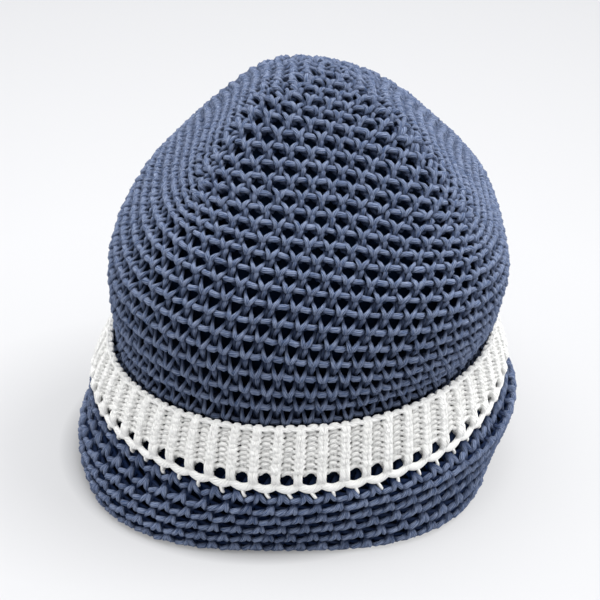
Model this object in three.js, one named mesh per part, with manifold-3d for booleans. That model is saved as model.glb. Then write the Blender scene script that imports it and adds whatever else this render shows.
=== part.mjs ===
// Knit cap standing on its brim: a domed crown, a ribbed band with a row of eyelets, and a flared brim.
// Millimetres, +Z up, front of the cap towards -Y, resting on z = 0.
import * as THREE from 'three';
import * as BufferGeometryUtils from 'three/addons/utils/BufferGeometryUtils.js';
import Module from 'manifold-3d';

// Sizes
const CROWN_WALL = 4.5;      // thickness of the bulky knit of crown and brim
const BRIM_WALL = 4.5;
const BAND_WALL = 2.6;       // thickness of the band between its ribs
const RIB_COUNT = 60;        // ribs round the band, one eyelet under each hollow
const RIB_HEIGHT = 0.9;      // how far a rib stands out of the hollows
const EYELET_WIDTH = 5.4;
const EYELET_HEIGHT = 4.8;
const EYELET_LEVEL = 0.54;   // place of the eyelets on the band's table of sections
const CENTRE_X = -2.52;      // middle of the brim's outline, brought onto the axis

// Steps of the faceted surfaces
const CROWN_STEPS_ROUND = 60;
const CROWN_STEPS_UP = 17;
const BRIM_STEPS_ROUND = 64;
const BRIM_STEPS_UP = 7;
const BRIM_STEPS_DOWN = 4;
const BAND_STEPS_UP = 2;
const EYELET_SIDES = 6;
const PIN_INSIDE = 2.5 * BAND_WALL;    // reach of the eyelet cutters either side of the band's face
const PIN_OUTSIDE = 1.5 * BAND_WALL;
const ANGLE_STEP = 0.01;               // small steps that give the direction of a face
const LEVEL_STEP = 0.02;
const POLE_MARGIN = 0.001;             // keeps those steps off the pole itself
const WELD = 1e-4;                     // points closer than this are one point

// One row per level cut, from bottom to top. square pushes the four gore corners out, oval the two sides;
// right and back move the cut's middle, tilt lifts its right side and drops its left side.
const BRIM_SECTIONS = [
  { z: 0.0, radius: 98.8, square: 0.02, oval: 0.027, right: -9.0, back: 0.0, tilt: 0.0 },
  { z: 6.0, radius: 99.8, square: 0.024, oval: 0.03, right: -7.6, back: 0.0, tilt: 1.0 },
  { z: 14.0, radius: 101.1, square: 0.02, oval: 0.03, right: -5.6, back: 0.0, tilt: 3.3 },
  { z: 23.0, radius: 102.0, square: 0.012, oval: 0.03, right: -2.6, back: 0.0, tilt: 5.0 },
  { z: 31.0, radius: 101.3, square: 0.007, oval: 0.025, right: 0.87, back: 0.0, tilt: 4.8 },
  { z: 37.0, radius: 98.8, square: 0.0, oval: 0.018, right: -0.6, back: 0.0, tilt: 3.3 },
];
const BAND_SECTIONS = [
  { z: 37.6, radius: 97.9, square: 0.0, oval: 0.018, right: -0.6, back: 0.0, tilt: 3.3 },
  { z: 48.0, radius: 96.7, square: 0.0, oval: 0.016, right: -0.5, back: 0.0, tilt: 3.8 },
  { z: 58.0, radius: 94.5, square: 0.0, oval: 0.01, right: 0.0, back: 0.0, tilt: 4.3 },
  { z: 68.7, radius: 91.2, square: 0.0, oval: 0.0, right: 0.7, back: 0.0, tilt: 4.6 },
];
const CROWN_SECTIONS = [
  { z: 58.0, radius: 89.7, square: 0.0, oval: 0.0, right: -0.71, back: 0.0, tilt: 4.3 },
  { z: 68.7, radius: 88.0, square: 0.0, oval: 0.0, right: 0.09, back: 0.0, tilt: 4.6 },
  { z: 80.0, radius: 91.6, square: 0.005, oval: 0.0, right: 1.19, back: 0.0, tilt: 0.0 },
  { z: 101.5, radius: 94.0, square: 0.03, oval: 0.0, right: 2.79, back: 0.5, tilt: -9.0 },
  { z: 122.0, radius: 90.5, square: 0.05, oval: 0.0, right: 9.19, back: 1.5, tilt: -10.5 },
  { z: 141.0, radius: 78.4, square: 0.06, oval: 0.0, right: 13.39, back: 3.0, tilt: -10.0 },
  { z: 162.0, radius: 58.3, square: 0.06, oval: 0.0, right: 15.99, back: 5.5, tilt: -10.0 },
  { z: 183.7, radius: 33.0, square: 0.03, oval: 0.0, right: 16.19, back: 9.5, tilt: -7.0 },
  { z: 193.0, radius: 0.0, square: 0.0, oval: 0.0, right: 16.89, back: 13.5, tilt: 0.0 },
];
// Corners of one rib and the hollow after it, as shares of the rib spacing.
const RIB_PROFILE = [
  { share: -0.2, swell: RIB_HEIGHT },
  { share: 0.2, swell: RIB_HEIGHT },
  { share: 0.25, swell: 0.0 },
  { share: 0.75, swell: 0.0 },
];
const COLUMNS = ['z', 'radius', 'square', 'oval', 'right', 'back', 'tilt'];

// Smooth curve through the rows of a table; level runs from 0 to the last row.
function sectionAt(table, level) {
  const last = table.length - 1;
  const i = Math.min(Math.max(Math.floor(level), 0), last - 1);
  const f = level - i;
  const row = (k) => table[Math.min(Math.max(k, 0), last)];
  const out = {};
  for (const c of COLUMNS) {
    const a = row(i)[c];
    const b = row(i + 1)[c];
    const va = (b - row(i - 1)[c]) / 2;
    const vb = (row(i + 2)[c] - a) / 2;
    out[c] = (2 * a - 2 * b + va + vb) * f ** 3 + (3 * b - 3 * a - 2 * va - vb) * f ** 2 + va * f + a;
  }
  return out;
}

// Point of the outer face; angle is taken from the front towards +X.
function outerPoint(table, angle, level, swell = 0) {
  const s = sectionAt(table, level);
  const r = s.radius * (1 - s.square * Math.cos(4 * angle) - s.oval * Math.cos(2 * angle)) + swell;
  const x = r * Math.sin(angle) + s.right - CENTRE_X;
  const y = -r * Math.cos(angle) + s.back;
  return new THREE.Vector3(x, y, s.z + s.tilt * Math.sin(angle));
}

// Outward unit normal of the smooth outer face.
function outerNormal(table, angle, level) {
  const last = table.length - 1;
  const above = Math.min(level + LEVEL_STEP, last - POLE_MARGIN);
  const below = Math.min(Math.max(level - LEVEL_STEP, 0), above - LEVEL_STEP);
  const round = outerPoint(table, angle + ANGLE_STEP, level).sub(outerPoint(table, angle - ANGLE_STEP, level));
  const up = outerPoint(table, angle, above).sub(outerPoint(table, angle, below));
  return round.cross(up).normalize();
}

function innerPoint(table, angle, level, wall) {
  const n = outerNormal(table, angle, level);
  return outerPoint(table, angle, level).addScaledVector(n, -wall);
}

// Triangles between successive rings of equal length; closed joins the last ring to the first.
function ringFaces(ringCount, stepsRound, closed) {
  const faces = [];
  const spans = closed ? ringCount : ringCount - 1;
  for (let i = 0; i < spans; i += 1) {
    const a = i * stepsRound;
    const b = ((i + 1) % ringCount) * stepsRound;
    for (let j = 0; j < stepsRound; j += 1) {
      const k = (j + 1) % stepsRound;
      faces.push(a + j, a + k, b + k, a + j, b + k, b + j);
    }
  }
  return faces;
}

function meshData(points, faces) {
  const flat = new Float32Array(points.length * 3);
  points.forEach((p, i) => flat.set([p.x, p.y, p.z], 3 * i));
  return { flat, faces: new Uint32Array(faces) };
}

function geometryOf({ flat, faces }) {
  const g = new THREE.BufferGeometry();
  g.setAttribute('position', new THREE.BufferAttribute(flat, 3));
  g.setIndex(new THREE.BufferAttribute(faces, 1));
  g.computeVertexNormals();
  return g;
}

// A closed wall of rings: up the outer face, over the top edge, down the inner face, back along the foot.
function sleeve(outerRings, innerRings) {
  const rings = [...outerRings, ...innerRings];
  return meshData(rings.flat(), ringFaces(rings.length, rings[0].length, true));
}

function ring(stepsRound, pointAt) {
  return Array.from({ length: stepsRound }, (_, j) => pointAt((2 * Math.PI * j) / stepsRound, j));
}

function evenLevels(table, steps) {
  return Array.from({ length: steps + 1 }, (_, i) => ((table.length - 1) * i) / steps);
}

// Crown: hollow dome, open at the hem, closed at the pole on both faces.
function crownData() {
  const table = CROWN_SECTIONS;
  const n = CROWN_STEPS_ROUND;
  const levels = evenLevels(table, CROWN_STEPS_UP).slice(0, -1);
  const outer = levels.map((level) => ring(n, (angle) => outerPoint(table, angle, level)));
  const inner = levels.map((level) => ring(n, (angle) => innerPoint(table, angle, level, CROWN_WALL)));
  const pole = outerPoint(table, 0, table.length - 1);
  const poleInside = pole.clone().setZ(pole.z - CROWN_WALL);
  const points = [...outer.flat(), ...inner.flat(), pole, poleInside];
  const firstInner = levels.length * n;
  const lastRing = (levels.length - 1) * n;
  const poleOut = 2 * firstInner;
  const poleIn = poleOut + 1;
  const side = ringFaces(levels.length, n, false);
  const faces = [...side];
  for (let t = 0; t < side.length; t += 3) {
    faces.push(firstInner + side[t], firstInner + side[t + 2], firstInner + side[t + 1]);
  }
  for (let j = 0; j < n; j += 1) {
    const k = (j + 1) % n;
    faces.push(lastRing + j, lastRing + k, poleOut);
    faces.push(firstInner + lastRing + k, firstInner + lastRing + j, poleIn);
    faces.push(k, j, firstInner + j, k, firstInner + j, firstInner + k);
  }
  return meshData(points, faces);
}

// Brim: flared ring with a flat foot as wide as its wall.
function brimData() {
  const table = BRIM_SECTIONS;
  const n = BRIM_STEPS_ROUND;
  const up = evenLevels(table, BRIM_STEPS_UP);
  const down = evenLevels(table, BRIM_STEPS_DOWN).slice(1).reverse();
  const outer = up.map((level) => ring(n, (angle) => outerPoint(table, angle, level)));
  const inner = down.map((level) => ring(n, (angle) => innerPoint(table, angle, level, BRIM_WALL)));
  inner.push(ring(n, (angle) => outerPoint(table, angle, 0, -BRIM_WALL)));
  return sleeve(outer, inner);
}

// Band: ribbed ring, pierced by one eyelet in each hollow between two ribs.
async function bandGeometry() {
  const table = BAND_SECTIONS;
  const corners = RIB_PROFILE.length;
  const n = RIB_COUNT * corners;
  const corner = (j) => RIB_PROFILE[j % corners];
  const angleOf = (j) => (2 * Math.PI * (Math.floor(j / corners) + corner(j).share)) / RIB_COUNT;
  const up = evenLevels(table, BAND_STEPS_UP);
  const down = [table.length - 1, 0];
  const outer = up.map((level) => ring(n, (_, j) => outerPoint(table, angleOf(j), level, corner(j).swell)));
  const inner = down.map((level) => ring(n, (_, j) => innerPoint(table, angleOf(j), level, BAND_WALL)));
  const wasm = await Module();
  wasm.setup();
  const solidOf = (d) => new wasm.Manifold(
    new wasm.Mesh({ numProp: 3, vertProperties: d.flat, triVerts: d.faces }));
  const pins = Array.from({ length: RIB_COUNT }, (_, i) => (
    solidOf(eyeletPin((2 * Math.PI * (i + 0.5)) / RIB_COUNT))));
  const pierced = solidOf(sleeve(outer, inner)).subtract(wasm.Manifold.union(pins)).getMesh();
  return geometryOf({
    flat: new Float32Array(pierced.vertProperties),
    faces: new Uint32Array(pierced.triVerts),
  });
}

// Short prism along the wall's normal, as wide and high as an eyelet.
function eyeletPin(angle) {
  const middle = outerPoint(BAND_SECTIONS, angle, EYELET_LEVEL);
  const out = outerNormal(BAND_SECTIONS, angle, EYELET_LEVEL);
  const side = new THREE.Vector3(Math.cos(angle), Math.sin(angle), 0);
  const up = out.clone().cross(side).normalize();
  const points = [];
  for (const depth of [-PIN_INSIDE, PIN_OUTSIDE]) {
    for (let k = 0; k < EYELET_SIDES; k += 1) {
      const a = (2 * Math.PI * (k + 0.5)) / EYELET_SIDES;
      points.push(middle.clone().addScaledVector(out, depth)
        .addScaledVector(side, (EYELET_WIDTH / 2) * Math.cos(a))
        .addScaledVector(up, (EYELET_HEIGHT / 2) * Math.sin(a)));
    }
  }
  const faces = [];
  for (let k = 0; k < EYELET_SIDES; k += 1) {
    const l = (k + 1) % EYELET_SIDES;
    faces.push(k, l, EYELET_SIDES + l, k, EYELET_SIDES + l, EYELET_SIDES + k);
    if (k > 0 && l > 0) faces.push(0, l, k, EYELET_SIDES, EYELET_SIDES + k, EYELET_SIDES + l);
  }
  return meshData(points, faces);
}

const BLUE = new THREE.Color().setRGB(62 / 255, 73 / 255, 97 / 255, THREE.SRGBColorSpace);
const WHITE = new THREE.Color().setRGB(232 / 255, 233 / 255, 228 / 255, THREE.SRGBColorSpace);
const BLUE_YARN = new THREE.MeshStandardMaterial({ color: BLUE, roughness: 0.9, metalness: 0 });
const WHITE_YARN = new THREE.MeshStandardMaterial({ color: WHITE, roughness: 0.9, metalness: 0 });

function namedMesh(name, geometry, material) {
  geometry.deleteAttribute('normal');
  const clean = BufferGeometryUtils.mergeVertices(geometry, WELD);
  clean.computeVertexNormals();
  const mesh = new THREE.Mesh(clean, material);
  mesh.name = name;
  return mesh;
}

const cap = new THREE.Group();
cap.name = 'knit cap';
cap.add(namedMesh('crown', geometryOf(crownData()), BLUE_YARN));
cap.add(namedMesh('band', await bandGeometry(), WHITE_YARN));
cap.add(namedMesh('brim', geometryOf(brimData()), BLUE_YARN));

export default cap;
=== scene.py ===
import bpy
import numpy as np
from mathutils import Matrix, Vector


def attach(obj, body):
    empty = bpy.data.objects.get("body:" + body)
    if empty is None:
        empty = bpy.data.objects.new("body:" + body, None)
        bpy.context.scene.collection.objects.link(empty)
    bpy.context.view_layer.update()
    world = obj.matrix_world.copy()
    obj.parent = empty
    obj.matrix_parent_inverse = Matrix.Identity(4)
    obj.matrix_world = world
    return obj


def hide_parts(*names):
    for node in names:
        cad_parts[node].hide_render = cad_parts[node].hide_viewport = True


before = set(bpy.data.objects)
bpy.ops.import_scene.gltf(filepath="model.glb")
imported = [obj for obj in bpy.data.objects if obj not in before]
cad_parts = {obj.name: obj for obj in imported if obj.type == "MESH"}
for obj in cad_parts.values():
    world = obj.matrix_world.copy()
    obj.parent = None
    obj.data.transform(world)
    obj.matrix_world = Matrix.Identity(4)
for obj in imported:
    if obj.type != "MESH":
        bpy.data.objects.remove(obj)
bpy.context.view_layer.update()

# Crown
# A dome of plied blue cotton, knitted in the round in an open moss stitch: knit and purl loops take turns
# along each row and from row to row. Four lines of decreases part it into gores and close it at the top.
# Its hem is held behind the band.
MM = 0.001
CENTRE_X = -2.52
BLUE_GAUGE = 2.35
CROWN_SECTIONS = np.array([
    # height, radius, square, oval, right, back, tilt
    [58.0, 89.7, 0.0, 0.0, -0.1, 0.0, 4.3],
    [68.7, 88.0, 0.0, 0.0, 0.7, 0.0, 4.6],
    [80.0, 91.6, 0.005, 0.0, 1.8, 0.0, 0.0],
    [101.5, 94.0, 0.03, 0.0, 3.2, 0.5, -9.0],
    [122.0, 90.5, 0.05, 0.0, 9.8, 1.5, -10.5],
    [141.0, 78.6, 0.06, 0.0, 14.4, 3.0, -10.0],
    [162.0, 58.6, 0.06, 0.0, 15.6, 5.5, -10.0],
    [183.0, 33.0, 0.03, 0.0, 14.8, 9.5, -7.0],
    [192.2, 0.0, 0.0, 0.0, 15.5, 13.5, 0.0],
])
# A loop, from the link with the stitch before it to the link with the next. The knit loop shows its two arms
# below and its head as a bar above; the purl loop only its legs, set back between the bars.
KNIT_LOOP = np.array([
    # across in wales, up in rows, out in yarn widths, girth
    [-0.50, -0.14, -0.55, 0.80],
    [-0.22, -0.34, -0.95, 0.75],
    [-0.06, -0.24, 0.20, 0.88],
    [-0.14, -0.05, 0.66, 0.94],
    [-0.28, 0.13, 0.66, 0.84],
    [-0.42, 0.30, 0.10, 0.56],
    [-0.80, 0.66, -1.25, 0.60],
    [-0.61, 1.00, -0.75, 0.90],
    [-0.43, 1.00, 0.32, 1.04],
    [0.00, 0.98, 0.50, 1.08],
    [0.42, 0.98, 0.36, 1.04],
    [0.60, 0.96, -0.70, 0.92],
    [0.82, 0.70, -1.25, 0.60],
    [0.68, 0.35, 0.00, 0.56],
    [0.47, 0.16, 0.66, 0.84],
    [0.25, -0.04, 0.72, 0.94],
    [0.10, -0.23, 0.25, 0.88],
    [0.24, -0.34, -0.95, 0.75],
    [0.50, -0.14, -0.55, 0.80],
])
CLOSED_ARMS = np.array([
    # the same loop low on the crown, where its arms lie closer together
    [-0.50, -0.14, -0.55, 0.80],
    [-0.22, -0.30, -0.95, 0.75],
    [-0.06, -0.13, 0.30, 0.95],
    [-0.13, 0.01, 0.88, 1.00],
    [-0.23, 0.14, 0.85, 0.92],
    [-0.31, 0.27, 0.15, 0.66],
    [-0.70, 0.66, -1.25, 0.60],
    [-0.59, 1.02, -0.75, 0.90],
    [-0.42, 1.01, 0.38, 1.08],
    [0.00, 0.99, 0.62, 1.14],
    [0.41, 0.99, 0.42, 1.08],
    [0.58, 0.96, -0.70, 0.92],
    [0.76, 0.70, -1.25, 0.60],
    [0.50, 0.31, 0.00, 0.66],
    [0.36, 0.15, 0.85, 0.92],
    [0.21, 0.01, 0.95, 1.00],
    [0.08, -0.12, 0.35, 0.95],
    [0.24, -0.30, -0.95, 0.75],
    [0.50, -0.14, -0.55, 0.80],
])
PURL_LOOP = np.array([
    # across in wales, up in rows, out in yarn widths, girth
    [-0.50, -0.14, -0.55, 0.80],
    [-0.36, -0.16, -0.75, 0.72],
    [-0.25, -0.02, -0.95, 0.66],
    [-0.18, 0.18, -0.90, 0.64],
    [-0.15, 0.40, -0.62, 0.72],
    [-0.15, 0.58, -0.52, 0.78],
    [-0.17, 0.74, -0.48, 0.82],
    [-0.12, 0.86, -0.70, 0.78],
    [-0.04, 0.92, -1.00, 0.72],
    [0.05, 0.92, -1.00, 0.74],
    [0.13, 0.87, -0.50, 0.86],
    [0.21, 0.75, 0.16, 0.98],
    [0.20, 0.59, 0.22, 0.94],
    [0.13, 0.43, -0.20, 0.82],
    [0.11, 0.25, -0.45, 0.74],
    [0.15, 0.08, -0.75, 0.68],
    [0.24, -0.08, -0.85, 0.68],
    [0.37, -0.16, -0.75, 0.74],
    [0.50, -0.14, -0.55, 0.80],
])
LOOP_SAMPLES = 17
YARN_SIDES = 6
GORES = 4
GORE_WALES = 30
FIRST_DECREASE = 13.0
DECREASE = 1.5
TOP_ROWS = 18.5
TOP_DECREASE = 1.5
LEAST_WALES = 2
CROWN_ROWS = 26
CORNER_DROOP = 0.2
LOW_ROWS = 8.5
LOW_STRETCH = 0.16
CLOSED_BELOW = 7.0
OPEN_ABOVE = 13.0
CROWN_DEPTH = 3.1
CROWN_RELIEF = 0.9
SIDE_FLAT = 0.3
# Painted light at the sides of the crown; painted shade low on its front and back and near its top
SIDE_LIGHT = 0.1
LOW_SHADE = 0.16
TOP_SHADE = 0.12
# Painted shade: tone of the yarn at the face of the cloth, its rise per yarn width out, and its bounds
SHADE_TONE_AT_FACE = 0.60
SHADE_TONE_RISE = 0.50
SHADE_TONE_LEAST = 0.05
SHADE_TONE_MOST = 0.93
DROOP_FROM = 11
DROOP_ROWS = 6
DROOP_MOST = 1.2
GORE_SPREAD = np.array([
    # level of the crown's sections, angle that the corners of the gores move towards the sides
    [3.0, 0.0],
    [4.0, 0.03],
    [5.0, 0.12],
    [6.0, 0.2],
    [7.0, 0.25],
    [8.0, 0.0],
])
UNEVEN_SLANT = 0.07
UNEVEN_ROW = 0.035
UNEVEN_WIDTH = 0.06
UNEVEN_PLACE = 0.045
UNEVEN_TONE = 0.07
UNEVEN_DEPTH = 0.08
UNEVEN_GIRTH = 0.05
FRONT_SAMPLES = 800
BLUE_PLIES = 9
BLUE_TWIST = 1.0
FIBRE_SCALE = 3.2
FIBRE_STRETCH = 0.1
FIBRE_CONTRAST = 3.0
FIBRE_RELIEF = 0.8
FUZZ_SCALE = 1500.0
FUZZ_LIGHT = 0.3
FUZZ_RELIEF = 0.3
NOISE_DETAIL = 3.0
PLY_SHARPNESS = 0.6
PLY_LIGHT = 0.45
PLY_RELIEF = 0.5
LIGHT_LEAST = 0.2
BUMP_STRENGTH = 0.8
BUMP_DISTANCE = 0.0006
YARN_ROUGHNESS = 0.85
YARN_SPECULAR = 0.08
chance = np.random.default_rng(7)


def smooth(rows, at):
    """Catmull-Rom curve through the rows of a table; at runs from 0 at the first row to the last row."""
    last = len(rows) - 1
    at = np.clip(at, 0, last)
    first = np.minimum(at.astype(int), last - 1)
    f = (at - first)[..., None]
    a, b, c, d = (rows[np.clip(first + step, 0, last)] for step in (-1, 0, 1, 2))
    slope = (c - a) / 2
    bend = (2 * a - 5 * b + 4 * c - d) / 2
    change = (3 * b - a - 3 * c + d) / 2
    return b + f * slope + f ** 2 * bend + f ** 3 * change


def face_point(sections, level, angle):
    """Outer face: rings of the section's radius, pushed out at gore corners and sides, moved and tilted."""
    height, radius, square, oval, right, back, tilt = np.moveaxis(smooth(sections, level), -1, 0)
    reach = radius * (1 - square * np.cos(4 * angle) - oval * np.cos(2 * angle))
    x = reach * np.sin(angle) + right - CENTRE_X
    y = back - reach * np.cos(angle)
    return np.stack([x, y, height + tilt * np.sin(angle)], -1)


def unit(vectors):
    """Each vector divided by its own length."""
    return vectors / np.maximum(np.linalg.norm(vectors, axis=-1, keepdims=True), 1e-9)


def face_normal(sections, level, angle):
    """Outward normal: a small step round the face crossed with a small step up it."""
    step = 0.02
    level = np.clip(level, step, len(sections) - 1 - 2 * step)
    onward = face_point(sections, level, angle + step) - face_point(sections, level, angle - step)
    upward = face_point(sections, level + step, angle) - face_point(sections, level - step, angle)
    return unit(np.cross(onward, upward))


def front_lengths(sections):
    """Levels of a section table, and the length of the front line from the table's foot up to each."""
    level = np.linspace(0, len(sections) - 1, FRONT_SAMPLES)
    steps = np.diff(face_point(sections, level, 0 * level), axis=0)
    return level, np.concatenate([[0], np.cumsum(np.linalg.norm(steps, axis=1))])


def sampled(loop, samples):
    """A loop sampled evenly from its first link up to the next."""
    return smooth(loop, np.linspace(0, len(loop) - 1, samples, endpoint=False))


def uneven(stitches, samples, amount):
    """Small shifts, one per stitch, that pass smoothly into the next stitch's along its loop."""
    shift = chance.normal(0, amount, (stitches, 1))
    before = (shift + np.roll(shift, 1)) / 2
    after = (shift + np.roll(shift, -1)) / 2
    along = np.arange(samples) / samples
    rising = np.clip(2 * along, 0, 1)
    falling = np.clip(2 * along - 1, 0, 1)
    return before + (shift - before) * rising + (after - shift) * falling


def yarn_tube(line, normal, girth, sides, height=None):
    """Rings of points round a closed line. Each lies across it, its first point on the cloth's outer side.

    height is the width of the strand across the normal where it isn't round.
    """
    ahead = unit(np.roll(line, -1, 0) - np.roll(line, 1, 0))
    across = unit(np.cross(ahead, normal))
    out = np.cross(across, ahead)
    turn = 2 * np.pi * np.arange(sides)[:, None] / sides
    thick = girth[:, None, None] / 2
    wide = thick if height is None else height[:, None, None] / 2
    return line[:, None] + thick * np.cos(turn) * out[:, None] + wide * np.sin(turn) * across[:, None]


def cap_piece(name, points, quads, maps, tones, material, node, slot):
    """A smooth mesh of quads, with its UV map and its tone at each point, that rides on the cap."""
    mesh = bpy.data.meshes.new(name)
    mesh.vertices.add(len(points))
    mesh.vertices.foreach_set("co", (points * MM).astype(np.float32).ravel())
    mesh.loops.add(quads.size)
    mesh.loops.foreach_set("vertex_index", quads.astype(np.int32).ravel())
    mesh.polygons.add(len(quads))
    mesh.polygons.foreach_set("loop_start", np.arange(0, quads.size, 4, dtype=np.int32))
    mesh.polygons.foreach_set("loop_total", np.full(len(quads), 4, np.int32))
    mesh.polygons.foreach_set("use_smooth", np.ones(len(quads), bool))
    mesh.uv_layers.new(name="yarn").data.foreach_set("uv", maps.astype(np.float32).ravel())
    tone = mesh.attributes.new("tone", "FLOAT", "POINT")
    tone.data.foreach_set("value", tones.astype(np.float32))
    mesh.update()
    mesh.materials.append(material)
    piece = bpy.data.objects.new(name, mesh)
    bpy.context.scene.collection.objects.link(piece)
    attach(piece, "root")
    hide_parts(node)


def wrapped_quads(rings, sides):
    """Quads between neighbouring rings, the last joined to the first, and each corner's ring and side."""
    i, j = np.meshgrid(np.arange(rings), np.arange(sides), indexing="ij")
    ring = np.stack([i, i, i + 1, i + 1], -1).reshape(-1, 4)
    side = np.stack([j, j + 1, j + 1, j], -1).reshape(-1, 4)
    return ring % rings * sides + side % sides, ring, side


def yarn_piece(name, tubes, material, node, slot):
    """One mesh of closed tubes. Its UV map holds the share of the way round and the length along in mm."""
    points, quads, maps, tones = [], [], [], []
    start = 0
    for rings, tone in tubes:
        count, sides = rings.shape[:2]
        steps = np.linalg.norm(np.roll(rings, -1, 0) - rings, axis=-1).mean(1)
        along = np.concatenate([[0], np.cumsum(steps)])
        corners, ring, side = wrapped_quads(count, sides)
        quads.append(start + corners)
        maps.append(np.stack([side / sides, along[ring]], -1).reshape(-1, 2))
        points.append(rings.reshape(-1, 3))
        tones.append(np.repeat(tone, sides))
        start += count * sides
    whole = [np.concatenate(part) for part in (points, quads, maps, tones)]
    cap_piece(name, *whole, material, node, slot)


class Shade:
    """An output of a material's node. Sums, differences, products and powers of shades add Math nodes."""

    def __init__(self, tree, socket=None):
        self.tree = tree
        self.socket = socket

    def node(self, kind, settings=None, sockets=None, output=0):
        """Adds a node of that kind, with its settings first and then the values or links of its sockets."""
        made = self.tree.nodes.new("ShaderNode" + kind)
        for name, value in (settings or {}).items():
            setattr(made, name, value)
        for key, value in (sockets or {}).items():
            if isinstance(value, Shade):
                self.tree.links.new(value.socket, made.inputs[key])
            else:
                made.inputs[key].default_value = value
        return Shade(self.tree, made.outputs[output])

    def maths(self, operation, first, second=0.0):
        """Adds a Math node that works on one value or two."""
        return self.node("Math", {"operation": operation}, {0: first, 1: second})

    def __add__(self, other):
        return self.maths("ADD", self, other)

    def __sub__(self, other):
        return self.maths("SUBTRACT", self, other)

    def __mul__(self, other):
        return self.maths("MULTIPLY", self, other)

    def __pow__(self, other):
        return self.maths("POWER", self, other)


def yarn_material(name, painted_shade, groove_shade, body, plies, twist):
    """Plied yarn: ridges |sin(plies half turns round + twist along)| broken up by fibres along the plies.

    It is darker in the grooves (painted shade), between the fibres and where the tone is low.
    """
    material = bpy.data.materials.new(name)
    material.use_nodes = True
    shader = material.node_tree.nodes["Principled BSDF"]
    start = Shade(material.node_tree)
    place = start.node("UVMap", {"uv_map": "yarn"})
    around = start.node("SeparateXYZ", None, {0: place}, 0)
    along = start.node("SeparateXYZ", None, {0: place}, 1)
    spot = start.node("TexCoord", output=3)
    fuzz = start.node("TexNoise", None, {"Vector": spot, "Scale": FUZZ_SCALE, "Detail": NOISE_DETAIL})
    ply = start.maths("ABSOLUTE", start.maths("SINE", around * (np.pi * plies) + along * twist))
    turn = around * (2 * np.pi) + along * (2 * twist / plies)
    lay = {0: start.maths("COSINE", turn), 1: start.maths("SINE", turn), 2: along * FIBRE_STRETCH}
    fibre = start.node("TexNoise", None, {
        "Vector": start.node("CombineXYZ", None, lay), "Scale": FIBRE_SCALE, "Detail": NOISE_DETAIL})
    tone = start.node("Attribute", {"attribute_name": "tone"}, None, 2)
    # Painted shade: the grooves between the plies are darker than the ridges. Fibres and fuzz vary at
    # random.
    fibre_light = (fibre - 0.5) * FIBRE_CONTRAST
    mix = ply ** PLY_SHARPNESS * PLY_LIGHT + fibre_light + fuzz * FUZZ_LIGHT + LIGHT_LEAST
    cloth = start.node("MixRGB", None, {0: mix, 1: groove_shade + (1,), 2: body + (1,)})
    # Where the tone is low the colour turns towards the painted shade colour.
    toned = start.node("MixRGB", None, {0: tone, 1: painted_shade + (1,), 2: cloth})
    relief = ply * PLY_RELIEF + fibre * FIBRE_RELIEF + fuzz * FUZZ_RELIEF
    bump = start.node("Bump", None, {
        "Strength": BUMP_STRENGTH, "Distance": BUMP_DISTANCE, "Height": relief})
    links = material.node_tree.links
    links.new(toned.socket, shader.inputs["Base Color"])
    links.new(bump.socket, shader.inputs["Normal"])
    shader.inputs["Roughness"].default_value = YARN_ROUGHNESS
    shader.inputs["Specular IOR Level"].default_value = YARN_SPECULAR
    return material


crown_level, crown_length = front_lengths(CROWN_SECTIONS)
band_top = np.interp(1.0, crown_level, crown_length)
crown_row = (crown_length[-1] - band_top) / CROWN_ROWS


def gore_wales(row):
    """Wales of a gore at a row: three less every two rows from the first decrease, six less near the top."""
    lost = DECREASE * np.maximum(row - FIRST_DECREASE, 0) + TOP_DECREASE * np.maximum(row - TOP_ROWS, 0)
    return np.maximum(GORE_WALES - lost, LEAST_WALES)


def crown_place(gore, share, row):
    """Level and angle of a place in a gore, as a share of its width from its middle, and a row.

    Rows droop at the corners of the gores. The low rows are taller than the rest, and the lowest are hidden
    behind the band.
    """
    row = row - LOW_STRETCH * np.maximum(LOW_ROWS - row, 0)
    narrowing = np.clip((row - DROOP_FROM) / DROOP_ROWS, 0, 1)
    outward = np.minimum(2 * share, DROOP_MOST) ** 2
    droop = CORNER_DROOP * narrowing * np.maximum(CROWN_ROWS - row, 0) * outward
    level = np.interp(band_top + crown_row * (row - droop), crown_length, crown_level)
    turn = np.pi / 2 * (gore + share)
    spread = np.interp(level, GORE_SPREAD[:, 0], GORE_SPREAD[:, 1])
    lean = np.sin(2 * turn)
    return level, turn + spread * lean * (2 + lean ** 2) / 3


def moss_loops(purl, knit_loop, slant, relief):
    """Loops of a moss stitch row, knit or purl as told, each a little uneven: across, up, out, girth, tone.

    slant lifts the right end of each head, in rows per wale, and relief is the depth of the stitch, in yarn
    widths. Yarn that lies deeper is given a darker tone: painted shade.
    """
    loop = np.where(purl[..., None], sampled(PURL_LOOP, LOOP_SAMPLES), sampled(knit_loop, LOOP_SAMPLES))
    across, up, out, girth = np.moveaxis(loop, -1, 0)
    size = len(purl), LOOP_SAMPLES
    headward = np.sin(np.pi * np.arange(LOOP_SAMPLES) / LOOP_SAMPLES) ** 2
    up = up + (slant + uneven(*size, UNEVEN_SLANT)) * across * headward + uneven(*size, UNEVEN_ROW)
    across = across * (1 + uneven(*size, UNEVEN_WIDTH)) + uneven(*size, UNEVEN_PLACE)
    # Painted shade: the deeper the yarn lies, the darker its tone; the uneven part is the yarn's own tone.
    tone = np.clip(SHADE_TONE_AT_FACE + SHADE_TONE_RISE * out, SHADE_TONE_LEAST, SHADE_TONE_MOST) + uneven(*size, UNEVEN_TONE)
    out = (out + uneven(*size, UNEVEN_DEPTH)) * relief * BLUE_GAUGE - CROWN_DEPTH
    girth = girth * BLUE_GAUGE * (1 + uneven(*size, UNEVEN_GIRTH))
    return across, up, out, girth, tone


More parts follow.
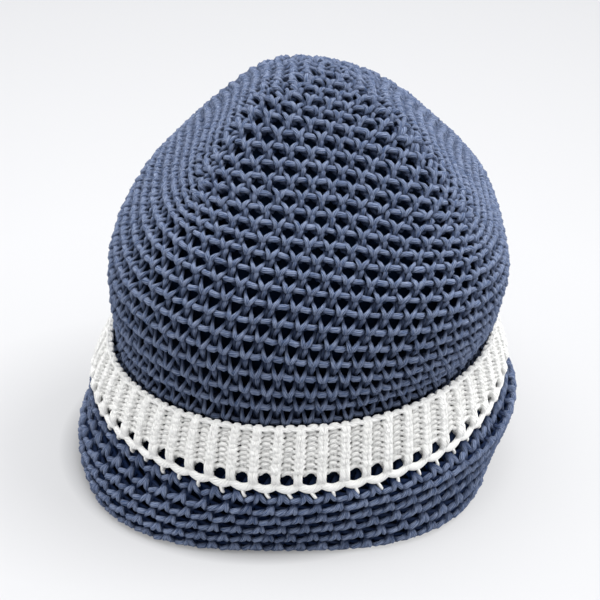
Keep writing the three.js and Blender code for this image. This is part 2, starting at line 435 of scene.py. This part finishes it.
def laid_tube(sections, level, angle, out, girth, tone):
    """A tube whose middle line lies that far out of the face at each level and angle, and its tones."""
    level, angle, out, girth, tone = np.broadcast_arrays(level, angle, out, girth, tone)
    normal = face_normal(sections, level, angle)
    line = face_point(sections, level, angle) + out[..., None] * normal
    line[..., 2] = np.maximum(line[..., 2], girth / 2)
    return yarn_tube(line.reshape(-1, 3), normal.reshape(-1, 3), girth.ravel(), YARN_SIDES), tone.ravel()


def crown_row_tube(row):
    """One row of the crown, its loops laid out wale by wale round the four gores, and flatter at the sides.

    Painted shade lowers its tone low on the front and back, where the crown hangs over the band, and near
    the top; painted light raises it at the sides.
    """
    wales = 2 * round(gore_wales(row) / 2)
    gore = np.repeat(np.arange(GORES), wales)[:, None]
    wale = np.tile(np.arange(wales) - (wales - 1) / 2, GORES)[:, None]
    purl = (wale + (GORE_WALES - 1) / 2 + gore * GORE_WALES + row) % 2 == 1
    opened = np.clip((row - CLOSED_BELOW) / (OPEN_ABOVE - CLOSED_BELOW), 0, 1)
    knit_loop = CLOSED_ARMS + opened * (KNIT_LOOP - CLOSED_ARMS)
    flat = np.sin(np.pi / 2 * (gore + wale / wales)) ** 2
    relief = CROWN_RELIEF * (1 - SIDE_FLAT * flat)
    across, up, out, girth, tone = moss_loops(purl, knit_loop, slant=0.0, relief=relief)
    wales_there = np.maximum(wales + gore_wales(row + up) - gore_wales(row), 1)
    level, angle = crown_place(gore, (wale + across) / wales_there, row + up)
    low = np.clip(1 - row / LOW_ROWS, 0, 1)
    high = np.clip((row - TOP_ROWS) / (CROWN_ROWS - TOP_ROWS), 0, 1)
    # Painted shade low on the front and back and near the top, painted light at the sides
    shade = 1 - LOW_SHADE * low * (1 - flat) - TOP_SHADE * high
    tone = np.minimum(tone * shade + SIDE_LIGHT * flat, 1)
    return laid_tube(CROWN_SECTIONS, level, angle, out, girth, tone)


blue_yarn = yarn_material(
    "blue_yarn", painted_shade=(0.0, 0.008, 0.04), groove_shade=(0.02, 0.053, 0.14), body=(0.235, 0.28, 0.4),
    plies=BLUE_PLIES, twist=BLUE_TWIST)
for name, rows in {
    "crown_lower_rows": range(6),
    "crown_middle_rows": range(6, 13),
    "crown_upper_rows": range(13, 19),
    "crown_top_rows": range(19, CROWN_ROWS),
}.items():
    yarn_piece(name, [crown_row_tube(row) for row in rows], blue_yarn, "crown", "blue_yarn")

# Brim
# The same blue yarn in a tighter moss stitch, worked downwards from the band, so that its loops hang upside
# down. It flares out and turns in again where its lower edge stands on the table.
BRIM_SECTIONS = np.array([
    # height, radius, square, oval, right, back, tilt; the last row lies behind the band
    [0.0, 98.2, 0.044, 0.022, -7.0, 0.0, 0.0],
    [6.0, 100.2, 0.042, 0.026, -6.8, 0.0, 1.0],
    [14.0, 101.4, 0.024, 0.03, -5.6, 0.0, 3.3],
    [23.0, 102.0, 0.012, 0.03, -2.6, 0.0, 5.0],
    [31.0, 101.3, 0.007, 0.025, 0.87, 0.0, 4.8],
    [37.0, 98.8, 0.0, 0.018, -0.6, 0.0, 3.3],
    [45.0, 97.6, 0.0, 0.016, -0.5, 0.0, 3.7],
])
BRIM_LOOP = np.array([
    # across in wales, up in rows, out in yarn widths, girth
    [-0.50, -0.14, -0.55, 0.80],
    [-0.14, -0.50, -0.95, 0.75],
    [-0.03, -0.44, 0.20, 0.95],
    [-0.15, -0.22, 0.80, 1.05],
    [-0.25, 0.00, 0.75, 1.00],
    [-0.25, 0.20, 0.10, 0.75],
    [-0.72, 0.66, -1.25, 0.60],
    [-0.58, 1.04, -0.75, 0.88],
    [-0.42, 1.02, 0.38, 1.02],
    [0.00, 1.00, 0.66, 1.06],
    [0.40, 1.00, 0.42, 1.02],
    [0.56, 0.97, -0.70, 0.90],
    [0.78, 0.66, -1.25, 0.60],
    [0.56, 0.14, 0.00, 0.70],
    [0.38, -0.04, 0.75, 0.98],
    [0.21, -0.20, 0.85, 1.05],
    [0.08, -0.38, 0.35, 0.95],
    [0.20, -0.48, -0.95, 0.75],
    [0.50, -0.14, -0.55, 0.80],
])
CAP_WALES = GORES * GORE_WALES
BRIM_ROWS = 7
BRIM_ROW = 6.5
FIRST_BAR = 4.3
BRIM_SLANT = 0.3
BRIM_RELIEF = 0.6
BRIM_GIRTH = 0.98
SIDE_SWELL = 0.2
# Painted shade: the brim's tone is raised to this power, so that its deeper yarn is darker than the crown's
BRIM_SHADE = 2.0
BRIM_LIFT = 1.0
TUCK = 3.0
TURN_UNDER = 1.4
TURN_LENGTH = 3.0
# Painted shade close under the band's edge: over this many mm, down to EDGE_LEAST at the edge
EDGE_SHADE = 4.0
EDGE_LEAST = 0.1
LEFT_RISE = 5.5
RIGHT_RISE = 8.0
brim_level, brim_length = front_lengths(BRIM_SECTIONS)
brim_top = np.interp(len(BRIM_SECTIONS) - 2, brim_level, brim_length)


def seam_rise(angle):
    """How far the seam of brim and band is drawn up: not at the front or back, most at the right side."""
    side = np.sin(angle)
    return np.where(side > 0, RIGHT_RISE * side ** 4, LEFT_RISE * side ** 2)


def brim_row_tube(row):
    """One row of the brim, worked downwards: upside down, its first bars a little below the band.

    What would lie higher is tucked in behind the band's edge and painted darker there as shade; the last
    bars turn in under the foot. The yarn lies closer at the sides. Deeper yarn is painted darker than on the
    crown, as shade.
    """
    wale = np.arange(CAP_WALES)[:, None]
    across, up, out, girth, tone = moss_loops((wale + row) % 2 == 1, BRIM_LOOP, BRIM_SLANT, BRIM_RELIEF)
    down = FIRST_BAR + BRIM_ROW * (row - 1 + up)
    angle = 2 * np.pi * (wale - 0.5 - across) / CAP_WALES
    rise = seam_rise(angle) * np.clip(1 - down / brim_top, 0, 1)
    level = np.interp(brim_top - down + rise, brim_length, brim_level)
    out = out + BRIM_LIFT - TUCK * np.clip(-down / TURN_LENGTH, 0, 1)
    out = out - TURN_UNDER * np.clip((down - brim_top) / TURN_LENGTH, 0, 1)
    # Painted shade: deeper yarn darker than on the crown, and darker still close under the band's edge
    tone = np.clip(tone, 0, 1) ** BRIM_SHADE * np.clip(down / EDGE_SHADE, EDGE_LEAST, 1)
    girth = BRIM_GIRTH * girth * (1 + SIDE_SWELL * np.sin(angle) ** 2)
    return laid_tube(BRIM_SECTIONS, level, angle, out, girth, tone)


yarn_piece("brim_rows", [brim_row_tube(row) for row in range(BRIM_ROWS)], blue_yarn, "brim", "blue_yarn")

# Band
# Off-white cotton in a rib of one knit and one purl wale, with a row of eyelets along its lower edge.
# It lies round the hem of the crown and is sewn to the top of the brim.
BAND_SECTIONS = np.array([
    # height, radius, square, oval, right, back, tilt
    [37.6, 97.9, 0.0, 0.018, -0.6, 0.0, 3.3],
    [48.0, 96.7, 0.0, 0.016, -0.5, 0.0, 3.8],
    [58.0, 94.5, 0.0, 0.01, 0.0, 0.0, 4.3],
    [67.4, 91.6, 0.0, 0.0, 0.7, 0.0, 4.6],
])
WHITE_GAUGE = 1.7
WHITE_PLIES = 7
WHITE_TWIST = 1.6
# Half loops, each with its mirror image to follow.
RIB_LOOP = np.array([
    # across in wales, up in rows, out in yarn widths, girth
    [-0.50, 0.00, -0.05, 1.1],
    [-0.32, -0.10, 0.05, 1.2],
    [-0.17, 0.10, 0.30, 1.45],
    [-0.15, 0.50, 0.45, 1.55],
    [-0.19, 0.95, 0.35, 1.45],
    [-0.30, 1.30, -0.05, 1.2],
    [-0.20, 1.50, -0.45, 1.1],
    [0.00, 1.56, -0.60, 1.1],
])
HOLLOW_LOOP = np.array([
    # the same columns
    [-0.50, 0.00, -0.05, 1.1],
    [-0.36, -0.06, -0.10, 1.25],
    [-0.18, 0.10, -0.25, 1.4],
    [-0.16, 0.50, -0.30, 1.45],
    [-0.25, 0.95, -0.15, 1.4],
    [-0.34, 1.20, 0.05, 1.3],
    [-0.20, 1.36, 0.20, 1.3],
    [0.00, 1.41, 0.25, 1.3],
])
EYELET_LOOP = np.array([
    # the same columns
    [-0.50, 0.66, -0.10, 1.1],
    [-0.36, 0.86, 0.10, 1.2],
    [-0.18, 0.98, 0.20, 1.2],
    [0.00, 1.01, 0.22, 1.2],
])
EYELET_RIB = np.array([
    # the same columns
    [-0.50, 0.66, -0.10, 1.1],
    [-0.36, 0.78, -0.70, 1.1],
    [-0.20, 0.60, -1.25, 1.2],
    [-0.18, 0.15, -1.05, 1.2],
    [-0.26, -0.08, -0.10, 1.3],
    [-0.20, 0.15, 0.45, 1.4],
    [-0.16, 0.50, 0.60, 1.5],
    [-0.20, 0.85, 0.50, 1.4],
    [-0.30, 1.10, 0.05, 1.2],
    [-0.20, 1.25, -0.45, 1.1],
    [0.00, 1.30, -0.60, 1.1],
])
RIB_ROWS = 8
BAND_SAMPLES = 14
EDGE_HEIGHT = 3.4
EYELET_ROW = 5.6
BAND_DEPTH = 1.6
RIB_LIFT = 0.6
# Painted shade on the purl loops that lie back in the hollows
HOLLOW_SHADE = 0.09
HOLLOW_SHIFT = 0.05
EYELET_SWELL = 0.35
TOP_CHAIN = 0.7
UNEVEN_RIB = 0.04
UNEVEN_STITCH = 0.07
UNEVEN_STRAND = 0.06
UNEVEN_WHITE = 0.03
band_level, band_length = front_lengths(BAND_SECTIONS)
rib_row = (band_length[-1] - EDGE_HEIGHT - EYELET_ROW - TOP_CHAIN * WHITE_GAUGE) / RIB_ROWS


def mirrored(half):
    """A half loop followed by its mirror image."""
    return np.concatenate([half, half[-2::-1] * [-1, 1, 1, 1]])


def band_place(height, angle):
    """Level of the band's face at a height above its foot, which alone is drawn up at the sides."""
    return np.interp(height + seam_rise(angle) * (1 - height / band_length[-1]), band_length, band_level)


def band_row_tube(row):
    """One row of the band: knit loops stand out in ribs, purl loops lie back between, eyelets in row -1.

    The eyelets are smaller at the sides. The purl loops in the hollows are painted darker as shade.
    """
    wale = np.arange(CAP_WALES)[:, None]
    hollow = wale % 2 == 1
    between, rib = (HOLLOW_LOOP, RIB_LOOP) if row >= 0 else (EYELET_LOOP, EYELET_RIB)
    shapes = [sampled(mirrored(half), BAND_SAMPLES) for half in (between, rib)]
    loop = np.where(hollow[..., None], *shapes)
    across, up, out, girth = np.moveaxis(loop, -1, 0)
    size = CAP_WALES, BAND_SAMPLES
    across = across + HOLLOW_SHIFT * hollow + uneven(*size, UNEVEN_RIB)
    up = up + uneven(*size, UNEVEN_STITCH)
    lift = np.where(hollow, -RIB_LIFT, RIB_LIFT)
    out = (out + uneven(*size, UNEVEN_STITCH)) * WHITE_GAUGE - BAND_DEPTH + lift
    height = EDGE_HEIGHT + EYELET_ROW + (rib_row * (row + up) if row >= 0 else EYELET_ROW * (up - 1))
    angle = 2 * np.pi * (wale + across) / CAP_WALES
    level = band_place(height, angle)
    girth = girth * WHITE_GAUGE * (1 + uneven(*size, UNEVEN_STRAND))
    if row < 0:
        girth = girth * (1 + EYELET_SWELL * np.sin(angle) ** 2)
    # Painted shade in the hollows; the uneven part is the yarn's own tone
    tone = 1 - HOLLOW_SHADE * hollow + uneven(*size, UNEVEN_WHITE)
    return laid_tube(BAND_SECTIONS, level, angle, out, girth, tone)


white_yarn = yarn_material(
    "white_yarn", painted_shade=(0.2, 0.2, 0.19), groove_shade=(0.84, 0.84, 0.815), body=(0.94, 0.94, 0.925),
    plies=WHITE_PLIES, twist=WHITE_TWIST)
band_tubes = [band_row_tube(row) for row in range(-1, RIB_ROWS)]
yarn_piece("band_rows", band_tubes, white_yarn, "band", "white_yarn")

# Edges of the band
# A cast-off chain closes the top. Below the eyelets a thick strand makes a scalloped edge, and a short
# lashing under each eyelet sews it to the first row of the brim.
EDGE_SAMPLES = 8
EDGE_GAUGE = 2.2
EDGE_WIDTH = 3.7
EDGE_MIDDLE = 2.3
EDGE_SIDES = 12
EDGE_DEPTH = 1.0
CHAIN_UP = 0.35
CHAIN_OUT = 0.5
CHAIN_DEPTH = 0.9
SCALLOP = 2.0
SCALLOP_SWELL = 0.4
LASHING_GAUGE = 1.6
LASHING_SAMPLES = 16
SIDE_REACH = 0.35
FRONT_REACH = 0.65
RIGHT_SHORT = 0.3
UNEVEN_REACH = 0.06
UNEVEN_LEAN = 0.0025
LASHING = np.array([
    # up from the band's foot, out from the face
    [0.6, -1.6],
    [-0.8, -1.1],
    [-1.8, -0.8],
    [-2.8, -0.8],
    [-3.6, -1.1],
    [-4.0, -1.7],
    [-3.4, -2.2],
    [-1.6, -2.1],
])


def band_line(height, angle, out):
    """Points that far out of the band's face at that height above its foot, and the normals there.

    Below the foot the line goes on down the slope of the brim.
    """
    level = band_place(np.maximum(height, 0), angle)
    seam = brim_top + seam_rise(angle)
    below = np.interp(seam + np.minimum(height, 0), brim_length, brim_level)
    seam_level = np.interp(seam, brim_length, brim_level)
    drop = face_point(BRIM_SECTIONS, below, angle) - face_point(BRIM_SECTIONS, seam_level, angle)
    band_normal = face_normal(BAND_SECTIONS, level, angle)
    normal = np.where((height < 0)[:, None], face_normal(BRIM_SECTIONS, below, angle), band_normal)
    return face_point(BAND_SECTIONS, level, angle) + drop + out[:, None] * normal, normal


def edge_tube(height, out, gauge, wide, sides):
    """A closed strand round the band at that height and distance out of its face, so thick and so wide."""
    angle = 2 * np.pi * np.arange(len(height)) / len(height)
    line, normal = band_line(height, angle, out)
    thick = np.full(len(line), gauge)
    return yarn_tube(line, normal, thick, sides, wide + 0 * height), np.ones(len(line))


wave = np.pi * (np.arange(CAP_WALES * EDGE_SAMPLES) / EDGE_SAMPLES)
scallop = np.abs(np.sin(wave / 2))
top_height = band_length[-1] - WHITE_GAUGE / 2
chain_up = CHAIN_UP * np.cos(wave)
chain_out = CHAIN_OUT * np.sin(wave)
edge_wide = EDGE_WIDTH + SCALLOP_SWELL * scallop
edges = [
    edge_tube(top_height + chain_up, chain_out - CHAIN_DEPTH, WHITE_GAUGE, WHITE_GAUGE, YARN_SIDES),
    edge_tube(top_height - chain_up, -chain_out - CHAIN_DEPTH, WHITE_GAUGE, WHITE_GAUGE, YARN_SIDES),
    edge_tube(EDGE_MIDDLE - SCALLOP * scallop, 0 * wave - EDGE_DEPTH, EDGE_GAUGE, edge_wide, EDGE_SIDES),
]
yarn_piece("band_edges", edges, white_yarn, "band", "white_yarn")


def lashing_tube(rib):
    """A closed stitch under one eyelet: down in front of the edge and the brim's first row, up behind them.

    It is longest at the front, where the brim falls straight down, and shortest at the right side.
    """
    steps = np.linspace(0, len(LASHING), LASHING_SAMPLES, endpoint=False)
    path = smooth(np.concatenate([LASHING, LASHING[:1]]), steps)
    middle = 2 * np.pi * (rib + 0.5) / (CAP_WALES / 2)
    front = max(np.cos(middle), 0)
    right = max(np.sin(middle), 0)
    reach = SIDE_REACH + FRONT_REACH * front - RIGHT_SHORT * right ** 3 + chance.normal(0, UNEVEN_REACH)
    height = path[:, 0] * reach
    angle = middle + chance.normal(0, UNEVEN_LEAN) * height
    line, _ = band_line(height, angle, path[:, 1])
    round_cap = np.stack([np.cos(angle), np.sin(angle), 0 * angle], -1)
    return yarn_tube(line, round_cap, np.full(len(path), LASHING_GAUGE), YARN_SIDES), np.ones(len(path))


lashings = [lashing_tube(rib) for rib in range(CAP_WALES // 2)]
yarn_piece("band_lashing", lashings, white_yarn, "band", "white_yarn")

# Inner face, painted as shade
# The backs of the stitches lie close together inside the cap and keep the daylight out: one thin sheet just
# behind the loops, painted near black as shade, so that every hole looks dark from outside.
INNER_DEPTH = np.array([
    # level of the joined sections, depth below the face
    [0.0, 4.2],
    [1.0, 5.0],
    [5.0, 5.2],
    [8.0, 7.2],
])
INNER_WALL = 0.8
INNER_GAP = 0.03
INNER_UP = 60
INNER_ROUND = 96
inner_sections = np.concatenate([BRIM_SECTIONS[:-1], BAND_SECTIONS[1:2], CROWN_SECTIONS])
inner_up = np.linspace(0, len(inner_sections) - 1 - INNER_GAP, INNER_UP)
inner_level = np.concatenate([inner_up, inner_up[::-1]])[:, None]
inner_angle = np.linspace(0, 2 * np.pi, INNER_ROUND, endpoint=False)[None]
inner_depth = np.interp(inner_level, INNER_DEPTH[:, 0], INNER_DEPTH[:, 1])
inner_depth[INNER_UP:] += INNER_WALL
inner_level, inner_angle = np.broadcast_arrays(inner_level, inner_angle)
inner_points = face_point(inner_sections, inner_level, inner_angle)
inner_points = inner_points - inner_depth[..., None] * face_normal(inner_sections, inner_level, inner_angle)
inner_points[..., 2] = np.maximum(inner_points[..., 2], 0)
inner_quads, inner_ring, inner_side = wrapped_quads(2 * INNER_UP, INNER_ROUND)
# Painted shade: near black instead of the blue of the yarn
painted_shade_knit = yarn_material(
    "painted_shade_knit", painted_shade=(0.0, 0.005, 0.014), groove_shade=(0.0, 0.005, 0.014), body=(0.001, 0.008, 0.026),
    plies=BLUE_PLIES, twist=BLUE_TWIST)
inner_maps = np.stack([inner_side / INNER_ROUND, inner_ring], -1).reshape(-1, 2)
inner_points = inner_points.reshape(-1, 3)
cap_piece("inner_shade_sheet", inner_points, inner_quads, inner_maps, np.ones(len(inner_points)), painted_shade_knit,
          "crown", "blue_yarn")

# Table, light and camera
# A pale table that glows, with painted shadows round the cap's foot and to its left and less glow far off,
# and soft light from above and from both sides. The cap is seen from 30 degrees above its front.
FLOOR_SIDE = 16.0
VIEW_ELEVATION = np.radians(30.0)
VIEW_DISTANCE = 0.8
VIEW_AIM = Vector((0.00252, 0.0, 0.078))
LENS = 102.1
SENSOR = 36.0
LIGHTS = {
    # where each soft light comes from, and its strength
    "overhead_light": (Vector((0.1, 0.0, 0.99)), 4.3),
    "left_light": (Vector((-0.93, 0.1, 0.35)), 0.9),
    "right_light": (Vector((0.93, 0.1, 0.35)), 1.5),
}
LIGHT_ANGLE = 1.2
SKY_STRENGTH = 0.42
SKY_COLOUR = (1.0, 1.0, 1.02, 1)
TABLE_GLOW = 0.53
TABLE_COLOUR = (0.197, 0.2, 0.21)
TABLE_ROUGHNESS = 0.9
# Painted shadow round the cap's foot: no glow within this radius, full glow a further SHADE_EDGE out
SHADE_RADIUS = 0.083
SHADE_EDGE = 0.018
SHADE_MIDDLE = (-0.015, 0.001, 0.0)
# The glow fades far off, down to GLOW_FADE
GLOW_FROM = 0.25
GLOW_TO = 0.70
GLOW_FADE = 0.72
# Painted soft shadow to the left of the cap: its middle, the distances over which it fades, its least glow
LEFT_SHADOW_MIDDLE = (-0.075, 0.0, 0.0)
LEFT_SHADOW_FROM = 0.06
LEFT_SHADOW_TO = 0.12
LEFT_SHADOW_LEAST = 0.82

floor_mesh = bpy.data.meshes.new("table_top")
corner = FLOOR_SIDE / 2
floor_corners = [(-corner, -corner, 0), (corner, -corner, 0), (corner, corner, 0), (-corner, corner, 0)]
floor_mesh.from_pydata(floor_corners, [], [(0, 1, 2, 3)])
floor = bpy.data.objects.new("table_top", floor_mesh)
bpy.context.scene.collection.objects.link(floor)
pale = bpy.data.materials.new("pale_table")
pale.use_nodes = True
pale_shader = pale.node_tree.nodes["Principled BSDF"]
pale_shader.inputs["Base Color"].default_value = TABLE_COLOUR + (1,)
glow = Shade(pale.node_tree)
spot = glow.node("TexCoord", output=3)
# The table glows; painted shadows cut its glow round the cap's foot and to its left, and it fades far off.
away = glow.node("VectorMath", {"operation": "DISTANCE"}, {0: spot, 1: SHADE_MIDDLE}, 1)
near = glow.node("MapRange", None, {0: away, 1: SHADE_RADIUS, 2: SHADE_RADIUS + SHADE_EDGE})
far = glow.node("MapRange", None, {0: away, 1: GLOW_FROM, 2: GLOW_TO, 3: 1.0, 4: GLOW_FADE})
beside = glow.node("VectorMath", {"operation": "DISTANCE"}, {0: spot, 1: LEFT_SHADOW_MIDDLE}, 1)
left_shadow = glow.node("MapRange", None, {0: beside, 1: LEFT_SHADOW_FROM, 2: LEFT_SHADOW_TO, 3: LEFT_SHADOW_LEAST, 4: 1.0})
glow_after_shadows = near * far * left_shadow
pale.node_tree.links.new(glow_after_shadows.socket, pale_shader.inputs["Emission Color"])
pale_shader.inputs["Emission Strength"].default_value = TABLE_GLOW
pale_shader.inputs["Roughness"].default_value = TABLE_ROUGHNESS
floor_mesh.materials.append(pale)

for name, (direction, strength) in LIGHTS.items():
    lamp = bpy.data.lights.new(name, "SUN")
    lamp.energy = strength
    lamp.angle = LIGHT_ANGLE
    sun = bpy.data.objects.new(name, lamp)
    sun.rotation_euler = (-direction).to_track_quat("-Z", "Y").to_euler()
    bpy.context.scene.collection.objects.link(sun)
sky = bpy.data.worlds.new("sky")
sky.use_nodes = True
sky.node_tree.nodes["Background"].inputs["Color"].default_value = SKY_COLOUR
sky.node_tree.nodes["Background"].inputs["Strength"].default_value = SKY_STRENGTH
bpy.context.scene.world = sky
bpy.context.scene.view_settings.view_transform = "Standard"

camera_data = bpy.data.cameras.new("camera")
camera_data.lens = LENS
camera_data.sensor_width = SENSOR
camera = bpy.data.objects.new("camera", camera_data)
back = Vector((0.0, -np.cos(VIEW_ELEVATION), np.sin(VIEW_ELEVATION)))
camera.location = VIEW_AIM + back * VIEW_DISTANCE
camera.rotation_euler = (-back).to_track_quat("-Z", "Y").to_euler()
bpy.context.scene.collection.objects.link(camera)
bpy.context.scene.camera = camera
